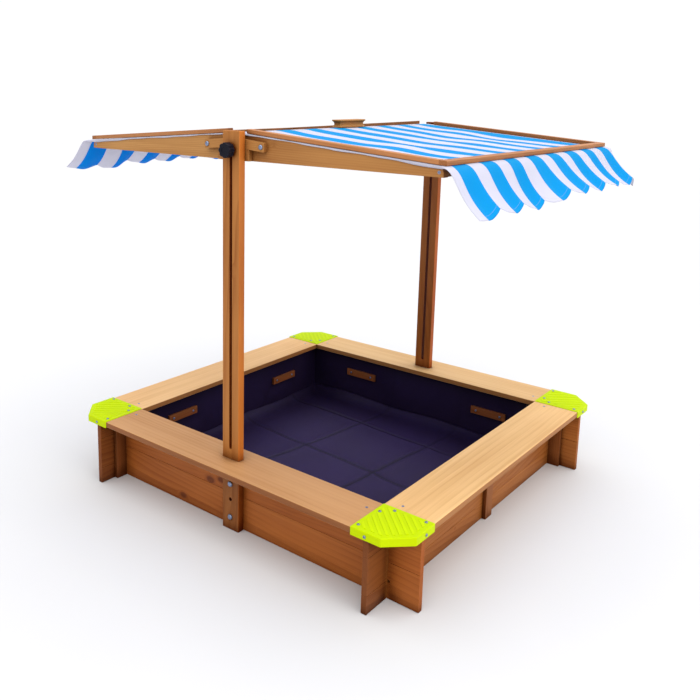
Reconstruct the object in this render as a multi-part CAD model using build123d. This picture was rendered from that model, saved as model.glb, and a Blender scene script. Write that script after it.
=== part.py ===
from build123d import *
import math
import os

# Sandbox with a sliding roof. Millimetres, origin on the ground at the middle, +Z up.
# The two posts stand on the Y axis. The roof ridge runs along Y and the roof falls to -X and +X.
# Sides are named front (-Y), right (+X), back (+Y) and left (-X).

# ---- Side boards ----
board_height = 97.5
board_thickness = 15
board_face = 504
board_half_length = 593
board_edge_radius = 1.2
seam_gap = 0.4
notch_clearance = 0.8
relief_radius = 4.5

# ---- Cleats ----
cleat_width = 38
cleat_thickness = 12
middle_cleat_width = 40
cleat_top_gap = 0.5

# ---- Seats ----
seat_inner = 455
seat_outer = 597.5
seat_thickness = 17
seat_edge_radius = 2.5

# ---- Corner plates ----
plate_outer = 600
plate_chamfer = 60
plate_thickness = 2.6
plate_wall = 2.4
plate_skirt = 18.5
plate_border = 13
plate_edge_radius = 2.5
rib_height = 1.0
rib_width = 7
rib_pitch = 15.5
rib_count = 12

# ---- Ground liner and its clips ----
liner_gap = 0.5
liner_wall = 1.5
liner_lift = 0.2
liner_top = 190
clip_length = 128
clip_height = 26
clip_thickness = 9
clip_places = ((254, 125), (-282, 113))
clip_screw_offset = 45

# ---- Posts ----
post_width = 60
post_thickness = 22
post_top = 1111
post_hole_height = 91
post_hole_radius = 5.5
post_bolt_heights = (38, 137)
slot_width = 10
slot_bottom = 240.5
seat_slot_clearance = 0.5

# ---- Roof frame ----
# The roof's middle stands a little to -X of the posts, so that each clamping bolt
# passes through one beam and not through the joint between two.
roof_shift = 13
beam_bottom = 1033
beam_depth_ridge = 71
beam_depth_eave = 23.5
beam_half_length = 606
beam_outer = 488.5
beam_thickness = 20
beam_nose_radius = 17
rail_gap = 0.2
ridge_rail_width = 40
ridge_rail_depth = 25
eave_rail_width = 22
batten_thickness = 11
batten_width = 20
batten_start = 34
batten_reach = 613
batten_lift = 2.4
splice_half_length = 105
splice_depth = 24
splice_middle = 1081
splice_fall = 0.096
slide_block_half_width = 55
slide_thickness = 15
handle_size = (32, 131, 23)
handle_middle = 11
handle_cove_radius = 10
handle_cove_depth = 5

# ---- Roof cloth ----
cloth_half_width = 486
cloth_gap = 0.4
cloth_thickness = 1.6
valance_reach = 714
valance_hem = 951

# ---- Knobs and fasteners ----
knob_height = 1062
knob_radius = 20
knob_depth = 24
knob_lobes = 8
knob_bolt_radius = 4
running_clearance = 0.05
washer_thickness = 2
washer_radius = 12
knob_groove_radius = 6
knob_groove_depth = 2
knob_collar = 5
knob_bore_depth = 15
knob_dish_radius = 9
knob_dish_depth = 0.8
screw_head_radius = 4
screw_shank_radius = 2
bolt_radius = 4
splice_bolt_radius = 3
splice_bolt_reach = 95
post_bolt_head = (8, 5)
splice_bolt_head = (6.5, 4)
knob_bolt_head = (9, 4.5)
post_nut_size = (13, 6)
splice_nut_size = (10, 5)
nut_pocket_radius = 9
nut_pocket_depth = 7

# ---- Worked out from the sizes above ----
box_height = 2 * board_height
seat_top = box_height + seat_thickness
board_line = board_face - board_thickness / 2
plate_top = seat_top + plate_thickness
post_outer = board_face + post_thickness
liner_outer = board_face - board_thickness - liner_gap
liner_face = liner_outer - liner_wall
roof_slope = (beam_depth_ridge - beam_depth_eave) / beam_half_length
roof_angle = math.degrees(math.atan(roof_slope))
slide_outer = beam_outer + slide_thickness
beam_inner = beam_outer - beam_thickness
batten_middle = beam_outer - batten_width / 2
ridge_rail_top = beam_bottom + beam_depth_ridge - 3
handle_bottom = beam_bottom + beam_depth_ridge + cloth_gap + cloth_thickness + 0.3
slot_top = knob_height + slot_width / 2

QUARTER_TURNS = {"front": 0, "right": 90, "back": 180, "left": 270}
CORNER_TURNS = {"front_right": 0, "back_right": 90, "back_left": 180, "front_left": 270}

parts = {}


# ---- Shapes used again and again ----
def bar(low, high, along, radius):
    """A planed bar between two opposite corners, with its long edges rounded."""
    size = [b - a for a, b in zip(low, high)]
    middle = [(a + b) / 2 for a, b in zip(low, high)]
    block = Pos(*middle) * Box(*size)
    return fillet(block.edges().filter_by(along), radius)


def turned(shape, angle):
    return Rot(0, 0, angle) * shape


def on_roof_middle(shape):
    """Moves a piece that was built about the roof's own middle to its place."""
    return Pos(-roof_shift, 0, 0) * shape


def polygon(*points):
    return make_face(Polyline(*points, close=True))


def upright(face, outer, thickness):
    """A board standing along X, its outer face at Y = -outer."""
    return extrude(Plane.XZ.offset(outer) * face, -thickness)


def roof_line(x, lift=0):
    """Height of the beams' sloping top edge, or of a line above it."""
    return beam_bottom + beam_depth_ridge - roof_slope * abs(x) + lift


def cross_recess(radius):
    return Box(radius * 1.2, 0.9, 1.6) + Box(0.9, radius * 1.2, 1.6)


def pan_screw(length):
    """A wood screw with a domed head, standing at the origin and pointing down."""
    head = Pos(0, 0, 1.2) * Cylinder(screw_head_radius, 2.4)
    head = fillet(head.edges().sort_by(Axis.Z)[-1], 1.6)
    head -= Pos(0, 0, 2.4) * cross_recess(screw_head_radius)
    shank = Pos(0, 0, -length / 2) * Cylinder(screw_shank_radius, length)
    return head + shank


def flat_hole(length):
    """The countersunk hole of a flat-headed wood screw."""
    cone_depth = screw_head_radius - screw_shank_radius
    cone = Pos(0, 0, -cone_depth / 2) * Cone(screw_shank_radius, screw_head_radius, cone_depth)
    return cone + Pos(0, 0, -length / 2) * Cylinder(screw_shank_radius, length)


def flat_screw(length):
    """A wood screw with a flat head, flush with the surface."""
    return flat_hole(length) - cross_recess(screw_head_radius)


def pan_hole(length):
    return Pos(0, 0, -length / 2) * Cylinder(screw_shank_radius, length)


def hex_nut(across_flats, height, radius):
    """A nut standing on the origin, opening upwards."""
    body = extrude(RegularPolygon(across_flats / 2, 6, major_radius=False), height)
    return body - Pos(0, 0, height / 2) * Cylinder(radius, height)


def dome_bolt(head_size, radius, length):
    """A bolt with a domed head above the origin and its shank pointing down."""
    head_radius, head_height = head_size
    head = Pos(0, 0, head_height / 2) * Cylinder(head_radius, head_height)
    head = fillet(head.edges().sort_by(Axis.Z)[-1], head_height * 0.8)
    return head + Pos(0, 0, -length / 2) * Cylinder(radius, length)


def group(shapes):
    return Compound([solid for shape in shapes for solid in shape.solids()])


def inward(x, outer, z):
    """A place on a face at Y = -outer, turned so that a screw there points along +Y."""
    return Pos(x, -outer, z) * Rot(90, 0, 0)


# ---- Screws and bolts of the base, for the front side; the others are turned copies ----
seat_screw_length = 38
plate_screw_length = 13
clip_screw_length = 24

skirt_screw_height = seat_top - 9.5
seat_screw_places = [Pos(x, -497, seat_top) for x in (-433, 433)]
seat_end_places = [Pos(x, y, plate_top) for x, y in ((-471, -497), (471, -497))]
seat_end_places += [Pos(x, y, plate_top) for x, y in ((-467, -582), (467, -582))]
skirt_places = [inward(x, plate_outer, skirt_screw_height) for x in (-497, 497)]
post_bolt_places = [inward(0, post_outer, z) for z in post_bolt_heights]


def clip_screw_places():
    """Two screws in each of the front side's clips, pointing outwards into the board."""
    face = clip_thickness - liner_face
    offsets = (-clip_screw_offset, clip_screw_offset)
    return [
        Pos(x + offset, face, z) * Rot(-90, 0, 0) for x, z in clip_places for offset in offsets
    ]


# ---- Side boards, half-lapped where they cross ----
def side_board(bottom, top, notch_below, notch_above):
    """The front side's board between two heights, with its notches at both crossings."""
    low = (-board_half_length, -board_face, bottom)
    high = (board_half_length, board_thickness - board_face, top - seam_gap)
    board = bar(low, high, Axis.X, board_edge_radius)
    notch_width = board_thickness + 2 * notch_clearance
    for x in (-board_line, board_line):
        for height, depth in ((bottom, notch_below), (top, notch_above)):
            if depth:
                tall = 2 * (depth + notch_clearance)
                board -= Pos(x, -board_line, height) * Box(notch_width, 2 * board_thickness, tall)
    return board


def with_relief(board, height):
    """Round reliefs in the upper corners of the notches that drop over the starter boards."""
    reach = board_thickness / 2 + 3.5
    for x in (-board_line, board_line):
        for side in (-reach, reach):
            drill = Cylinder(relief_radius, 2 * board_thickness)
            board -= Pos(x + side, -board_line, height) * Rot(90, 0, 0) * drill
    return board


def drilled(piece, places, hole):
    for place in places:
        piece -= place * hole
    return piece


def with_post_bolt(board, height):
    """A clearance hole for a post bolt and a round pocket for its nut on the inner face."""
    along = Pos(0, -board_line, height) * Rot(90, 0, 0)
    board -= along * Cylinder(bolt_radius, 2 * board_thickness)
    pocket_middle = board_thickness - board_face - nut_pocket_depth / 2
    pocket = Pos(0, pocket_middle, height) * Rot(90, 0, 0)
    return board - pocket * Cylinder(nut_pocket_radius, nut_pocket_depth)


quarter = board_height / 4
half = board_height / 2
liner_screw_hole = pan_hole(clip_screw_length)

lower = with_relief(side_board(0, board_height, half, quarter), half - 2)
lower = with_post_bolt(lower, post_bolt_heights[0])
upper = side_board(board_height, box_height, quarter, quarter)
upper = with_post_bolt(upper, post_bolt_heights[1])
upper = drilled(upper, seat_screw_places, pan_hole(seat_screw_length))
upper = drilled(upper, clip_screw_places(), liner_screw_hole)
for side in ("front", "back"):
    parts[f"{side}_board_lower"] = turned(lower, QUARTER_TURNS[side])
    parts[f"{side}_board_upper"] = turned(upper, QUARTER_TURNS[side])

starter = side_board(0, half, 0, 0)
middle = side_board(half, half + board_height, quarter, quarter)
middle = drilled(middle, clip_screw_places(), liner_screw_hole)
top_board = side_board(half + board_height, box_height, quarter, 0)
top_board = drilled(top_board, seat_screw_places, pan_hole(seat_screw_length))
for side in ("left", "right"):
    parts[f"{side}_board_starter"] = turned(starter, QUARTER_TURNS[side])
    parts[f"{side}_board_middle"] = turned(middle, QUARTER_TURNS[side])
    parts[f"{side}_board_top"] = turned(top_board, QUARTER_TURNS[side])


# ---- Cleats that hold the boards of one side together ----
cleat_near = board_face - board_thickness - cleat_thickness
cleat_far = board_face + cleat_width
cleat_top = box_height - cleat_top_gap
along_x = bar(
    (cleat_near, -cleat_far, 0),
    (cleat_near + cleat_thickness, -board_face, cleat_top),
    Axis.Z,
    1,
)
along_y = bar(
    (board_face, -cleat_near - cleat_thickness, 0),
    (cleat_far, -cleat_near, cleat_top),
    Axis.Z,
    1,
)
for corner, angle in CORNER_TURNS.items():
    parts[f"corner_cleats_{corner}"] = turned(group([along_x, along_y]), angle)

middle_cleat = bar(
    (board_face, 0, 0),
    (board_face + cleat_thickness, middle_cleat_width, cleat_top),
    Axis.Z,
    1,
)
parts["middle_cleat_right"] = middle_cleat
parts["middle_cleat_left"] = turned(middle_cleat, 180)


# ---- Posts, each with a long slot for the roof's bolt ----
def across_post(height, radius):
    return Pos(0, -post_outer, height) * Rot(90, 0, 0) * Cylinder(radius, 3 * post_thickness)


def post():
    low = (-post_width / 2, -post_outer, 0)
    high = (post_width / 2, -board_face, post_top)
    body = bar(low, high, Axis.Z, 2)
    body = fillet(body.faces().sort_by(Axis.Z)[-1].edges(), 1.5)
    slot_length = slot_top - slot_bottom
    slot = SlotOverall(slot_length, slot_width, rotation=90)
    middle_height = (slot_top + slot_bottom) / 2
    body -= upright(Pos(0, middle_height) * slot, post_outer + 1, post_thickness + 2)
    for height in post_bolt_heights:
        body -= across_post(height, bolt_radius)
    return body - across_post(post_hole_height, post_hole_radius)


for side in ("front", "back"):
    parts[f"post_{side}"] = turned(post(), QUARTER_TURNS[side])


# ---- Seats, mitred under the corner plates ----
def seat():
    """The front seat. Its tips are cut off to fit inside the corner plates."""
    tip_sum = 2 * plate_outer - plate_chamfer - (plate_wall + 0.1) * math.sqrt(2)
    right = [
        (seat_inner, -seat_inner),
        (tip_sum / 2, -tip_sum / 2),
        (tip_sum - seat_outer, -seat_outer),
    ]
    left = [(-x, y) for x, y in reversed(right)]
    board = extrude(Pos(0, 0, box_height) * polygon(*right, *left), seat_thickness)
    board = fillet(board.edges().filter_by(Axis.X), seat_edge_radius)
    board = drilled(board, seat_screw_places, flat_hole(seat_screw_length))
    board = drilled(board, seat_end_places, pan_hole(plate_screw_length + plate_thickness))
    return drilled(board, skirt_places, pan_hole(plate_screw_length + plate_wall))


def post_opening():
    width = post_width + 2 * seat_slot_clearance
    depth = post_thickness + 2 * seat_slot_clearance
    place = Pos(0, -(board_face + post_outer) / 2, box_height + seat_thickness / 2)
    return place * Box(width, depth, 2 * seat_thickness)


for side, angle in QUARTER_TURNS.items():
    piece = seat()
    if side in ("front", "back"):
        piece -= post_opening()
    parts[f"seat_{side}"] = turned(piece, angle)


# ---- Corner plates, moulded caps with a ribbed top ----
def plate_face(inset, inner):
    """The front right plate's outline, set in from its outer sides."""
    outer = plate_outer - inset
    cut = 2 * plate_outer - plate_chamfer - inset * math.sqrt(2) - outer
    return polygon(
        (inner, -inner), (outer, -inner), (outer, -cut), (cut, -outer), (inner, -outer)
    )


def plate_ribs(screw_places):
    """Ribs that run outwards along the corner's diagonal, with flat pads round the screws."""
    field = Pos(0, 0, plate_top - 0.5) * extrude(
        plate_face(plate_border, seat_inner + plate_border), rib_height + 0.5
    )
    middle_point = (seat_inner + plate_outer) / 2
    ribs = []
    for index in range(rib_count):
        across = (index - (rib_count - 1) / 2) * rib_pitch
        place = Pos(middle_point, -middle_point, plate_top) * Rot(0, 0, -45) * Pos(0, across, 0)
        ribs.append(place * Box(300, rib_width, 4 * rib_height))
    pads = [place * Cylinder(screw_head_radius + 2.5, 4 * rib_height) for place in screw_places]
    strips = [rib & field for rib in ribs]
    strips = [strip for strip in strips if strip and strip.solids()]
    merged = strips[0]
    for strip in strips[1:]:
        merged += strip
    for pad in pads:
        merged -= pad
    return merged


corner_top_places = [
    Pos(x, y, plate_top) for x, y in ((471, -497), (467, -582), (497, -471), (582, -467))
]
corner_skirt_places = [
    inward(497, plate_outer, skirt_screw_height),
    Rot(0, 0, 90) * inward(-497, plate_outer, skirt_screw_height),
]


def corner_plate():
    height = plate_top - seat_top + plate_skirt
    cap = Pos(0, 0, seat_top - plate_skirt) * extrude(plate_face(0, seat_inner), height)
    cap = fillet(cap.edges().filter_by(Axis.Z), 3)
    cap = fillet(cap.faces().sort_by(Axis.Z)[-1].edges(), plate_edge_radius)
    hollow = Pos(0, 0, seat_top - plate_skirt - 1) * extrude(
        plate_face(plate_wall, seat_inner - 20), plate_skirt + 1
    )
    cap -= hollow
    cap += plate_ribs(corner_top_places)
    cap = drilled(cap, corner_top_places, pan_hole(plate_screw_length))
    return drilled(cap, corner_skirt_places, pan_hole(plate_screw_length))


for corner, angle in CORNER_TURNS.items():
    parts[f"corner_plate_{corner}"] = turned(corner_plate(), angle)


# ---- Ground liner and clips ----
def ground_liner():
    """A tray of cloth that lines the floor and the walls, open at the top."""
    tall = liner_top - liner_lift
    middle_height = liner_lift + tall / 2
    tray = Pos(0, 0, middle_height) * Box(2 * liner_outer, 2 * liner_outer, tall)
    inside = Box(2 * liner_face, 2 * liner_face, tall)
    tray -= Pos(0, 0, middle_height + liner_wall) * inside
    for angle in QUARTER_TURNS.values():
        places = [Rot(0, 0, angle) * place for place in clip_screw_places()]
        tray = drilled(tray, places, liner_screw_hole)
    return tray


def side_clips():
    """The front side's two clips."""
    clips = []
    for x, z in clip_places:
        low = (x - clip_length / 2, -liner_face, z - clip_height / 2)
        high = (x + clip_length / 2, clip_thickness - liner_face, z + clip_height / 2)
        clips.append(drilled(bar(low, high, Axis.X, 1.5), clip_screw_places(), liner_screw_hole))
    return group(clips)


parts["ground_liner"] = ground_liner()
parts["liner_clips"] = group([turned(side_clips(), angle) for angle in QUARTER_TURNS.values()])


# ---- Fasteners of the base ----
def around(angles, places, fastener):
    """Copies of a fastener at the places of every side or corner."""
    return group([Rot(0, 0, angle) * place * fastener for angle in angles for place in places])


seat_screw = flat_screw(seat_screw_length)
plate_screw = pan_screw(plate_screw_length)
clip_screw = pan_screw(clip_screw_length)
corner_places = corner_top_places + corner_skirt_places
parts["seat_screws"] = around(QUARTER_TURNS.values(), seat_screw_places, seat_screw)
parts["plate_screws"] = around(CORNER_TURNS.values(), corner_places, plate_screw)
parts["clip_screws"] = around(QUARTER_TURNS.values(), clip_screw_places(), clip_screw)

post_bolt_length = post_outer - (board_face - board_thickness) - 1
post_bolt = dome_bolt(post_bolt_head, bolt_radius, post_bolt_length)
post_nut = Pos(0, 0, -post_bolt_length) * hex_nut(*post_nut_size, bolt_radius)
post_fastener = group([post_bolt, post_nut])
parts["post_bolts"] = around((0, 180), post_bolt_places, post_fastener)


# ---- Roof: gable beams, rails and what joins them ----
def beam_face():
    """Half a gable: level below, sloping above, deep at the ridge and rounded at the nose."""
    nose = beam_half_length
    face = polygon(
        (0, beam_bottom), (nose, beam_bottom), (nose, roof_line(nose)), (0, roof_line(0))
    )
    upper_corner = face.vertices().sort_by(Axis.X)[-2:].sort_by(Axis.Y)[-1]
    return fillet(upper_corner, beam_nose_radius)


rail_screw_length = 45
splice_grip = slide_thickness + beam_thickness
eave_screw_place = (beam_half_length - eave_rail_width / 2, beam_bottom + 11)
ridge_screw_place = (10, ridge_rail_top - ridge_rail_depth / 2)
splice_bolt_height = splice_middle - splice_fall * splice_bolt_reach
batten_screw_length = 28
batten_screw_reaches = (60, 235, 410, 570)
eave_screw_spots = (-440, -150, 150, 440)
handle_screw_length = 38
handle_screw_spots = (handle_middle - 38, handle_middle + 38)


def on_slope(x, y):
    """A place on top of the battens, square to the slope."""
    tilt = math.copysign(roof_angle, x)
    return Pos(x, y, roof_line(x, batten_lift + batten_thickness)) * Rot(0, tilt, 0)


def gable_screw_places(hand):
    return [on_slope(hand * x, -batten_middle) for x in batten_screw_reaches]


def eave_screw_places(hand):
    return [on_slope(hand * (batten_reach - 15), y) for y in eave_screw_spots]


rail_screw_places = [
    inward(hand * x, beam_outer, z)
    for hand in (-1, 1)
    for x, z in (eave_screw_place, ridge_screw_place)
]
splice_bolt_places = [
    inward(hand * splice_bolt_reach, slide_outer, splice_bolt_height) for hand in (-1, 1)
]
handle_screw_places = [
    Pos(0, y, ridge_rail_top - ridge_rail_depth) * Rot(180, 0, 0) for y in handle_screw_spots
]
batten_hole = flat_hole(batten_screw_length)
rail_hole = flat_hole(rail_screw_length)
handle_hole = flat_hole(handle_screw_length)
splice_hole = Pos(0, 0, -splice_grip / 2) * Cylinder(splice_bolt_radius, splice_grip + 2)


def knob_bore(x):
    return inward(x, beam_outer, knob_height) * Cylinder(knob_bolt_radius, 80)


def gable_beam(hand, bolt_x):
    """A gable's beam on the right (hand 1) or the left (hand -1), as seen from outside."""
    beam = upright(beam_face(), beam_outer, beam_thickness)
    level_edges = beam.edges().filter_by(Axis.X)
    beam = fillet(level_edges, 1.5)
    if hand < 0:
        beam = mirror(beam, Plane.YZ)
    beam -= knob_bore(bolt_x)
    beam = drilled(beam, rail_screw_places, rail_hole)
    beam = drilled(beam, splice_bolt_places, splice_hole)
    return drilled(beam, gable_screw_places(hand), batten_hole)


def splice_plate():
    """The plate on the gable's outer face that joins its two beams, a shallow upside-down V."""
    reach = splice_half_length
    end = splice_middle - splice_fall * reach
    rise = splice_depth / 2
    face = polygon(
        (-reach, end - rise),
        (0, splice_middle - rise),
        (reach, end - rise),
        (reach, end + rise),
        (0, splice_middle + rise),
        (-reach, end + rise),
    )
    plate = upright(face, slide_outer, slide_thickness)
    plate = fillet(plate.edges().filter_by(Axis.Y).sort_by(Axis.X)[0:2], 3)
    plate = fillet(plate.edges().filter_by(Axis.Y).sort_by(Axis.X)[-2:], 3)
    return drilled(plate, splice_bolt_places, splice_hole)


def slide_block(bolt_x):
    """The block under the splice plate that bears against the post."""
    wide = slide_block_half_width
    under = splice_middle - splice_depth / 2 - 0.4
    face = polygon(
        (-wide, beam_bottom + 0.5),
        (wide, beam_bottom + 0.5),
        (wide, under - splice_fall * wide),
        (0, under),
        (-wide, under - splice_fall * wide),
    )
    block = upright(face, slide_outer, slide_thickness)
    block = fillet(block.edges().filter_by(Axis.Z), 1.5)
    return block - knob_bore(bolt_x)


def gable_batten(hand):
    """The batten that clamps the cloth along one beam of the front gable."""
    inner_end = batten_reach - batten_width - 0.3
    face = polygon(
        (batten_start, roof_line(batten_start, batten_lift)),
        (inner_end, roof_line(inner_end, batten_lift)),
        (inner_end, roof_line(inner_end, batten_lift + batten_thickness)),
        (batten_start, roof_line(batten_start, batten_lift + batten_thickness)),
    )
    batten = upright(face, beam_outer, batten_width)
    long_edges = batten.edges().filter_by(lambda edge: edge.length > 100)
    batten = fillet(long_edges, 1.2)
    if hand < 0:
        batten = mirror(batten, Plane.YZ)
    return drilled(batten, gable_screw_places(hand), batten_hole)


SIDE_HANDS = {"front": {"left": -1, "right": 1}, "back": {"left": 1, "right": -1}}
for side, hands in SIDE_HANDS.items():
    turn = QUARTER_TURNS[side]
    bolt_x = hands["right"] * roof_shift
    for name, hand in hands.items():
        parts[f"gable_beam_{side}_{name}"] = on_roof_middle(turned(gable_beam(hand, bolt_x), turn))
        parts[f"gable_batten_{side}_{name}"] = on_roof_middle(turned(gable_batten(hand), turn))
    parts[f"splice_plate_{side}"] = on_roof_middle(turned(splice_plate(), turn))
    parts[f"slide_block_{side}"] = on_roof_middle(turned(slide_block(bolt_x), turn))


def whole_rail_places(places):
    return [Rot(0, 0, angle) * place for angle in (0, 180) for place in places]


def ridge_rail():
    reach = beam_inner - rail_gap
    low = (-ridge_rail_width / 2, -reach, ridge_rail_top - ridge_rail_depth)
    high = (ridge_rail_width / 2, reach, ridge_rail_top)
    rail = bar(low, high, Axis.Y, 2)
    rail = drilled(rail, whole_rail_places(rail_screw_places), rail_hole)
    return drilled(rail, handle_screw_places, handle_hole)


def eave_rail():
    """The right rail between the gables' noses, rounded like them where the cloth turns down."""
    inner = beam_half_length - eave_rail_width
    size = beam_depth_ridge
    window = Pos(inner + size / 2, beam_bottom + 1 + size / 2) * Rectangle(size, size)
    face = beam_face() & window
    reach = beam_inner - rail_gap
    rail = extrude(Plane.XZ * face, reach, both=True)
    rail = drilled(rail, whole_rail_places(rail_screw_places), rail_hole)
    return drilled(rail, eave_screw_places(1), batten_hole)


def eave_batten():
    """The right batten that clamps the cloth along the eave."""
    inner = batten_reach - batten_width
    face = polygon(
        (inner, roof_line(inner, batten_lift)),
        (batten_reach, roof_line(batten_reach, batten_lift)),
        (batten_reach, roof_line(batten_reach, batten_lift + batten_thickness)),
        (inner, roof_line(inner, batten_lift + batten_thickness)),
    )
    batten = fillet(extrude(Plane.XZ * face, beam_outer, both=True).edges().filter_by(Axis.Y), 1.2)
    return drilled(batten, eave_screw_places(1), batten_hole)


parts["ridge_rail"] = on_roof_middle(ridge_rail())
for name, angle in (("right", 0), ("left", 180)):
    parts[f"eave_rail_{name}"] = on_roof_middle(turned(eave_rail(), angle))
    parts[f"eave_batten_{name}"] = on_roof_middle(turned(eave_batten(), angle))


def ridge_handle():
    """A lifting block with coved sides, fixed through the cloth into the ridge rail."""
    width, length, height = handle_size
    middle_height = handle_bottom + height / 2
    block = Pos(0, handle_middle, middle_height) * Box(width, length, height)
    offset = handle_cove_radius - handle_cove_depth
    for hand in (-1, 1):
        along = Pos(hand * (width / 2 + offset), 0, middle_height - 1) * Rot(90, 0, 0)
        block -= along * Cylinder(handle_cove_radius, 2 * length)
        end = handle_middle + hand * (length / 2 + offset)
        across = Pos(0, end, middle_height - 1) * Rot(0, 90, 0)
        block -= across * Cylinder(handle_cove_radius, 4 * width)
    block = fillet(block.faces().sort_by(Axis.Z)[-1].edges(), 1.5)
    return drilled(block, handle_screw_places, handle_hole)


parts["ridge_handle"] = on_roof_middle(ridge_handle())


# ---- Roof cloth, a plain closed skin that falls outwards past the eaves ----
def cloth_slope(hand):
    """One slope and its valance. Both valances reach equally far from the posts' middle."""
    low = [(x, roof_line(x, cloth_gap)) for x in (0, batten_reach - 1)]
    low.append((valance_reach + hand * roof_shift, valance_hem))
    high = [(x, z + cloth_thickness) for x, z in low]
    outline = [(hand * x, z) for x, z in low + high[::-1]]
    return extrude(Plane.XZ * polygon(*outline), cloth_half_width, both=True)


def roof_cloth():
    skin = cloth_slope(1) + cloth_slope(-1)
    places = [place for hand in (-1, 1) for place in eave_screw_places(hand)]
    places += whole_rail_places([p for hand in (-1, 1) for p in gable_screw_places(hand)])
    skin = drilled(skin, places, batten_hole)
    return drilled(skin, handle_screw_places, handle_hole)


parts["roof_cloth"] = on_roof_middle(roof_cloth())


# ---- Fasteners of the roof ----
batten_screw = flat_screw(batten_screw_length)
gable_places = [place for hand in (-1, 1) for place in gable_screw_places(hand)]
eave_places = [place for hand in (-1, 1) for place in eave_screw_places(hand)]
gable_screws = around((0, 180), gable_places, batten_screw)
eave_screws = around((0,), eave_places, batten_screw)
rail_screws = around((0, 180), rail_screw_places, flat_screw(rail_screw_length))
handle_screws = around((0,), handle_screw_places, flat_screw(handle_screw_length))
parts["batten_screws"] = on_roof_middle(group([gable_screws, eave_screws]))
parts["rail_screws"] = on_roof_middle(rail_screws)
parts["handle_screws"] = on_roof_middle(handle_screws)

splice_bolt_length = splice_grip + splice_nut_size[1]
splice_bolt = dome_bolt(splice_bolt_head, splice_bolt_radius, splice_bolt_length)
splice_nut = Pos(0, 0, -splice_bolt_length) * hex_nut(*splice_nut_size, splice_bolt_radius)
splice_fastener = group([splice_bolt, splice_nut])
parts["splice_bolts"] = on_roof_middle(around((0, 180), splice_bolt_places, splice_fastener))


# ---- Knob bolts, washers and knobs ----
knob_bolt_length = post_outer - beam_inner + washer_thickness + 14
knob_bolt_place = Pos(0, -beam_inner, knob_height) * Rot(-90, 0, 0)
knob_bolt = knob_bolt_place * dome_bolt(knob_bolt_head, knob_bolt_radius, knob_bolt_length)
parts["knob_bolts"] = group([knob_bolt, turned(knob_bolt, 180)])

washer = Cylinder(washer_radius, washer_thickness) - Cylinder(knob_bolt_radius, washer_thickness)
washer_place = Pos(0, -post_outer - 0.2 - washer_thickness / 2, knob_height) * Rot(90, 0, 0)
parts["knob_washers"] = group([washer_place * washer, turned(washer_place * washer, 180)])


def knob():
    """A lobed knob with a blind bore. Its back stands on the origin and it opens downwards."""
    profile = Circle(knob_radius)
    groove_reach = knob_radius + knob_groove_radius - knob_groove_depth
    for index in range(knob_lobes):
        angle = 360 / knob_lobes * (index + 0.5)
        profile -= Rot(0, 0, angle) * Pos(groove_reach, 0) * Circle(knob_groove_radius)
    body = extrude(Pos(0, 0, knob_collar) * profile, knob_depth - knob_collar)
    body = fillet(body.faces().sort_by(Axis.Z)[-1].edges(), 2)
    neck = Pos(0, 0, knob_collar / 2) * Cylinder(washer_radius, knob_collar)
    bore_radius = knob_bolt_radius + running_clearance
    bore = Pos(0, 0, knob_bore_depth / 2) * Cylinder(bore_radius, knob_bore_depth)
    dish = Pos(0, 0, knob_depth) * Cylinder(knob_dish_radius, 2 * knob_dish_depth)
    return body + neck - bore - dish


knob_place = Pos(0, -post_outer - 0.4 - washer_thickness, knob_height) * Rot(90, 0, 0)
parts["knob_front"] = knob_place * knob()
parts["knob_back"] = turned(parts["knob_front"], 180)


# ---- Export ----
os.makedirs("parts", exist_ok=True)
for name, shape in parts.items():
    export_step(shape, f"parts/{name}.step")
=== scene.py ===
import math
import random

import bpy
import numpy as np
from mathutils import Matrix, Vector


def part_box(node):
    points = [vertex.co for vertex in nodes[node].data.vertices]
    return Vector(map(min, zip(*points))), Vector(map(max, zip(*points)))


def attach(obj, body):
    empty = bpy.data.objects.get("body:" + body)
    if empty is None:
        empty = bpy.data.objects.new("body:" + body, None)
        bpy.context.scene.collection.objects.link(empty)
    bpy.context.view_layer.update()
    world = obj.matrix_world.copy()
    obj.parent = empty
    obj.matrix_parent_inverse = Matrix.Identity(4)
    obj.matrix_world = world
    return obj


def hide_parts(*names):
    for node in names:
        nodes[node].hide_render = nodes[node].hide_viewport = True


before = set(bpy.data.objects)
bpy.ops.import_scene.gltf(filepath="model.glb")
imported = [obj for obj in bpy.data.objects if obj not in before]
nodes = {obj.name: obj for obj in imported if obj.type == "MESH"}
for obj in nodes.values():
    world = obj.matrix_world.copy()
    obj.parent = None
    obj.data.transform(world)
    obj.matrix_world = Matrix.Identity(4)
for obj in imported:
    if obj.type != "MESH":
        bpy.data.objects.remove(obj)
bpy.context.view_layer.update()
scene = bpy.context.scene


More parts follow.
